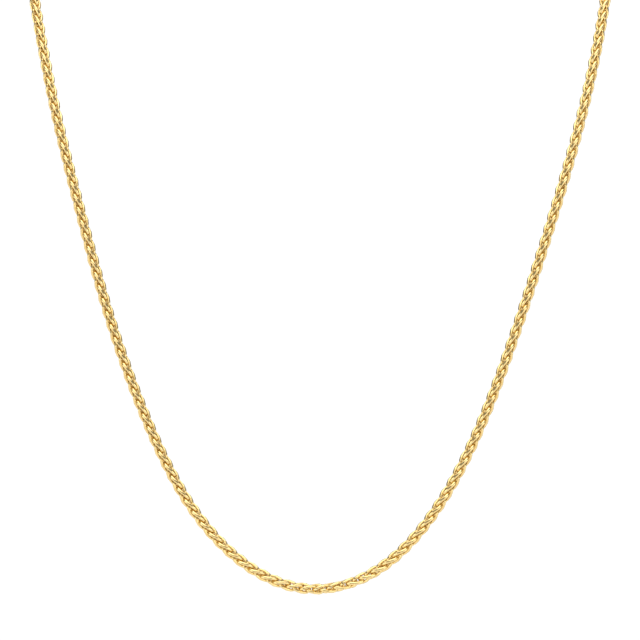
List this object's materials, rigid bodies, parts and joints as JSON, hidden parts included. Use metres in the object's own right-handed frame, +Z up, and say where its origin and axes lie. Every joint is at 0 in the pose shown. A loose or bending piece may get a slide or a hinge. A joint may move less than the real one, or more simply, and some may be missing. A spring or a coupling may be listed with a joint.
{
  "type": "wheat chain necklace",
  "caption": "Necklace of a slim woven chain of small twisted oval links, hanging in a deep U, closed at the nape by jump rings and a small hook clasp.",
  "frame": {"origin": "on the neck's axis, level with the stretch of chain that lies on the nape", "axes": "+Z up along the neck, -Y to the front where the chain hangs lowest, +X to the wearer's left"},
  "size_m": [0.1113, 0.0885, 0.1339],
  "materials": {
    "chain_gold": "polished yellow gold",
    "clasp_gold": "polished yellow gold"
  },
  "bodies": {
    "root": {"chain": "chain_gold", "end_ring": "clasp_gold", "clasp_ring": "clasp_gold", "clasp": "clasp_gold"}
  },
  "joints": []
}
